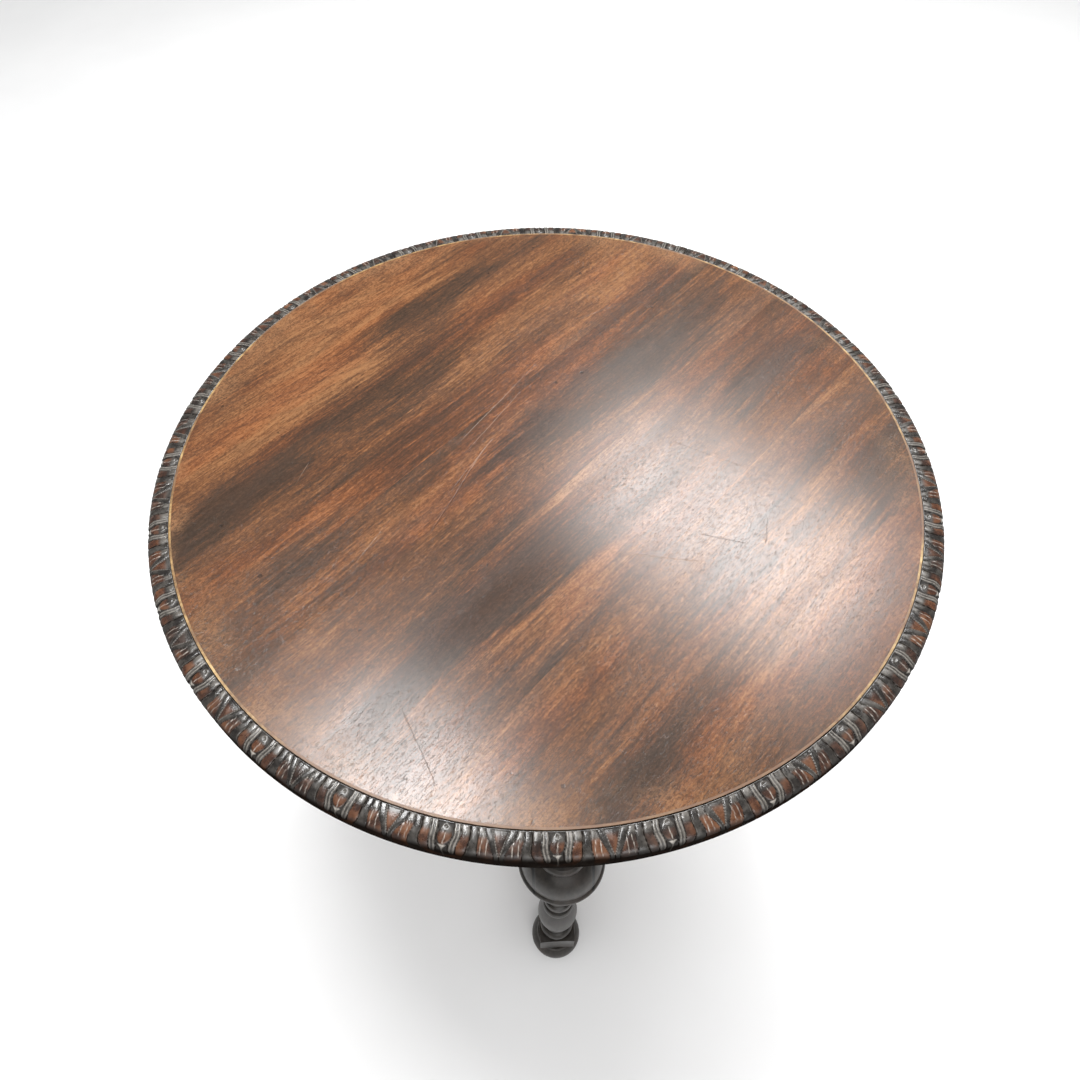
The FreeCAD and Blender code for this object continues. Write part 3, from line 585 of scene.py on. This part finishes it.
def carved_segment(index, material, rng, columns_per_repeat=132, rows=72):
    """One quarter of the rim with its carving, which stands for a plain CAD segment."""
    per_segment = CARVING_REPEATS // 4
    start = FIRST_EGG_ANGLE + math.radians(HALF_REPEAT) + (index - 1) * math.pi / 2
    columns = per_segment * columns_per_repeat + 1
    across = np.linspace(0, per_segment * REPEAT_DEGREES, columns)
    repeat = np.minimum((across // REPEAT_DEGREES).astype(int), per_segment - 1)
    side = across - (repeat + 0.5) * REPEAT_DEGREES
    points, normals, down = rim_profile(rows)
    side_grid, down_grid = np.meshgrid(side, down, indexing="ij")

    # Hand work: each repeat is a little off in place, reach and depth.
    fade = smooth(HALF_REPEAT - np.abs(side_grid), 0.0, 2.0)
    shift = rng.uniform(-0.16, 0.16, per_segment)[repeat][:, None]
    stretch = rng.uniform(-0.025, 0.025, per_segment)[repeat][:, None]
    wobble = 0.07 * np.sin(9 * down_grid + 40 * rng.random(per_segment)[repeat][:, None])
    depth, lobe, edge, shade_and_stain = carving(side_grid + (shift + wobble) * fade,
                                        down_grid * (1 + stretch * fade))
    depth = depth * rng.uniform(0.90, 1.06, per_segment)[repeat][:, None]
    depth = np.clip(depth, 0.02, 2.5) / 1000

    radius = points[:, 0] - depth * normals[:, 0]
    level = points[:, 1] - depth * normals[:, 1]
    low = RIM_LOW + SKIN
    back = [(FIELD_RADIUS + 0.0001, low), (FIELD_RADIUS + 0.0001, TOP_SURFACE - 0.0016),
            (FIELD_RADIUS + 0.0005, TOP_SURFACE - 0.0016)]
    radius = np.concatenate([radius, np.tile([p[0] for p in back], (columns, 1))], 1)
    level = np.concatenate([level, np.tile([p[1] for p in back], (columns, 1))], 1)
    around = start + np.radians(across)[:, None]
    vertices = np.stack([radius * np.cos(around), radius * np.sin(around), level], 2)
    loop = rows + len(back)

    column = np.arange(columns - 1)[:, None] * loop
    first = (column + np.arange(loop)[None, :]).ravel()
    second = (column + (np.arange(loop)[None, :] + 1) % loop).ravel()
    faces = np.stack([first, second, second + loop, first + loop], 1).tolist()
    faces.append(list(range(loop))[::-1])
    faces.append(list(range((columns - 1) * loop, columns * loop)))

    mesh = bpy.data.meshes.new(f"carved_rim_{index}")
    mesh.from_pydata(vertices.reshape(-1, 3).tolist(), [], faces)
    mesh.update()
    colours = np.zeros((columns, loop, 4), np.float32)
    colours[..., 3] = 1
    for channel, mask in enumerate((lobe, edge, shade_and_stain)):
        colours[:, :rows, channel] = mask
    # The inner back of the piece is painted black as shade too.
    colours[:, rows + 1:, 2] = 1
    layer = mesh.color_attributes.new("carving", "FLOAT_COLOR", "POINT")
    layer.data.foreach_set("color", colours.ravel())
    for polygon in mesh.polygons:
        polygon.use_smooth = len(polygon.vertices) == 4
    mesh.materials.append(material)

    piece = bpy.data.objects.new(f"carved_rim_{index}", mesh)
    bpy.context.scene.collection.objects.link(piece)
    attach(piece, "top")
    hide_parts(f"rim_segment_{index}")
    return piece


# ---- Object ----------------------------------------------------------------------------------
for board in range(1, 6):
    dress(board_material(board), f"board_{board}")
dress(string_material(), "string_inlay")

rng = np.random.default_rng(28)
carved = carved_material()
for segment in range(1, 5):
    carved_segment(segment, carved, rng)

for side, corners in ((-1, ("front_left", "rear_right")), (1, ("front_right", "rear_left"))):
    leg_wood = turned_wood_material(f"leg_wood_{corners[0]}", side)
    for corner in corners:
        dress(leg_wood, f"leg_{corner}", f"cup_cheeks_{corner}", f"foot_{corner}")
dress(turned_wood_material("finial_wood", 1), "finial")

RAIL_DARK = (0.030, 0.019, 0.014)
RAIL_LIGHT = (0.105, 0.060, 0.038)
dress(rail_material("rail_wood_a", 45, RAIL_DARK, RAIL_LIGHT), "bearer_a", "stretcher_a")
dress(rail_material("rail_wood_b", 135, RAIL_DARK, RAIL_LIGHT), "bearer_b", "stretcher_b")
dress(rail_material("batten_wood", 90, RAIL_DARK, RAIL_LIGHT), "batten_left", "batten_right")
dress(rail_material("catch_wood", 0, RAIL_DARK, RAIL_LIGHT), "catch_block")
dress(rail_material("peg_wood", 0, (0.060, 0.034, 0.022), (0.150, 0.085, 0.052)),
      "bearer_pegs", "stretcher_pegs")
dress(metal_material("old_brass", (0.60, 0.42, 0.17), (0.20, 0.13, 0.055), 0.28),
      "latch_keeper", "keeper_screws", "latch_housing", "latch_screws", "latch_bolt",
      "latch_knob")
dress(metal_material("screw_steel", (0.42, 0.42, 0.43), (0.14, 0.12, 0.11), 0.32),
      "pivot_pins", "foot_glides", "catch_screw", "batten_screws")
dress(leather_material(), "batten_pads", "stop_buttons")

# ---- Floor, light and camera -----------------------------------------------------------------
FLOOR_HALF = 9.0
FLOOR_LEVEL = -0.0002

# The camera's place from the middle of the top, in radii of the field, and its angles in degrees.
CAMERA_SIDE = -0.0159
CAMERA_AWAY = 1.4529
CAMERA_RISE = 1.6932
CAMERA_HEADING = -47.7
CAMERA_DOWN = 55.335
CAMERA_ROLL = -0.233


def pale_floor():
    """A plain pale floor just under the feet."""
    mesh = bpy.data.meshes.new("floor")
    corners = [(x * FLOOR_HALF, y * FLOOR_HALF, FLOOR_LEVEL)
               for x, y in ((-1, -1), (1, -1), (1, 1), (-1, 1))]
    mesh.from_pydata(corners, [], [(0, 1, 2, 3)])
    shader = Shader("pale_floor")
    tone = shader.noise(shader.place, 3.0, 3)
    colour = shader.ramp(tone, [(0.3, (0.86, 0.86, 0.86)), (0.7, (0.89, 0.89, 0.89))])
    mesh.materials.append(shader.finish(colour, 0.9))
    floor = bpy.data.objects.new("floor", mesh)
    bpy.context.scene.collection.objects.link(floor)


def soft_light(name, centre, target, width, depth, power):
    """A rectangular area light that faces a target, or straight down without one."""
    data = bpy.data.lights.new(name, "AREA")
    data.shape = "RECTANGLE"
    data.size = width
    data.size_y = depth
    data.energy = power
    light = bpy.data.objects.new(name, data)
    if target is not None:
        direction = Vector(target) - Vector(centre)
        light.rotation_euler = direction.to_track_quat("-Z", "Y").to_euler()
    light.location = centre
    bpy.context.scene.collection.objects.link(light)
    return light


def camera():
    """Looks down at the top from in front of the front left leg, hand held."""
    data = bpy.data.cameras.new("camera")
    data.sensor_width = 36
    data.lens = 27.02
    item = bpy.data.objects.new("camera", data)
    heading = Matrix.Rotation(math.radians(CAMERA_HEADING), 4, "Z")
    tilt = Matrix.Rotation(math.radians(90 - CAMERA_DOWN), 4, "X")
    roll = Matrix.Rotation(math.radians(CAMERA_ROLL), 4, "Z")
    place = heading @ Vector((FIELD_RADIUS * CAMERA_SIDE, -FIELD_RADIUS * CAMERA_AWAY, 0))
    place.z = TOP_SURFACE + FIELD_RADIUS * CAMERA_RISE
    item.matrix_world = Matrix.Translation(place) @ heading @ tilt @ roll
    bpy.context.scene.collection.objects.link(item)
    bpy.context.scene.camera = item


pale_floor()
camera()
soft_light("window", (1.38, 0.34, 2.60), None, 0.64, 1.22, 56)
soft_light("second_window", (-0.12, 0.50, 2.60), None, 0.46, 0.62, 29)
soft_light("front_fill", (-1.9, -2.2, 1.9), (0, 0, 0.45), 2.0, 1.4, 25)
ceiling = soft_light("ceiling", (0, 0, 3.6), None, 8.0, 8.0, 230)
ceiling.visible_glossy = False

world = bpy.data.worlds.new("studio")
world.use_nodes = True
background = world.node_tree.nodes["Background"]
background.inputs["Color"].default_value = (1, 1, 1, 1)
background.inputs["Strength"].default_value = 0.20
bpy.context.scene.world = world
bpy.context.scene.view_settings.view_transform = "Standard"
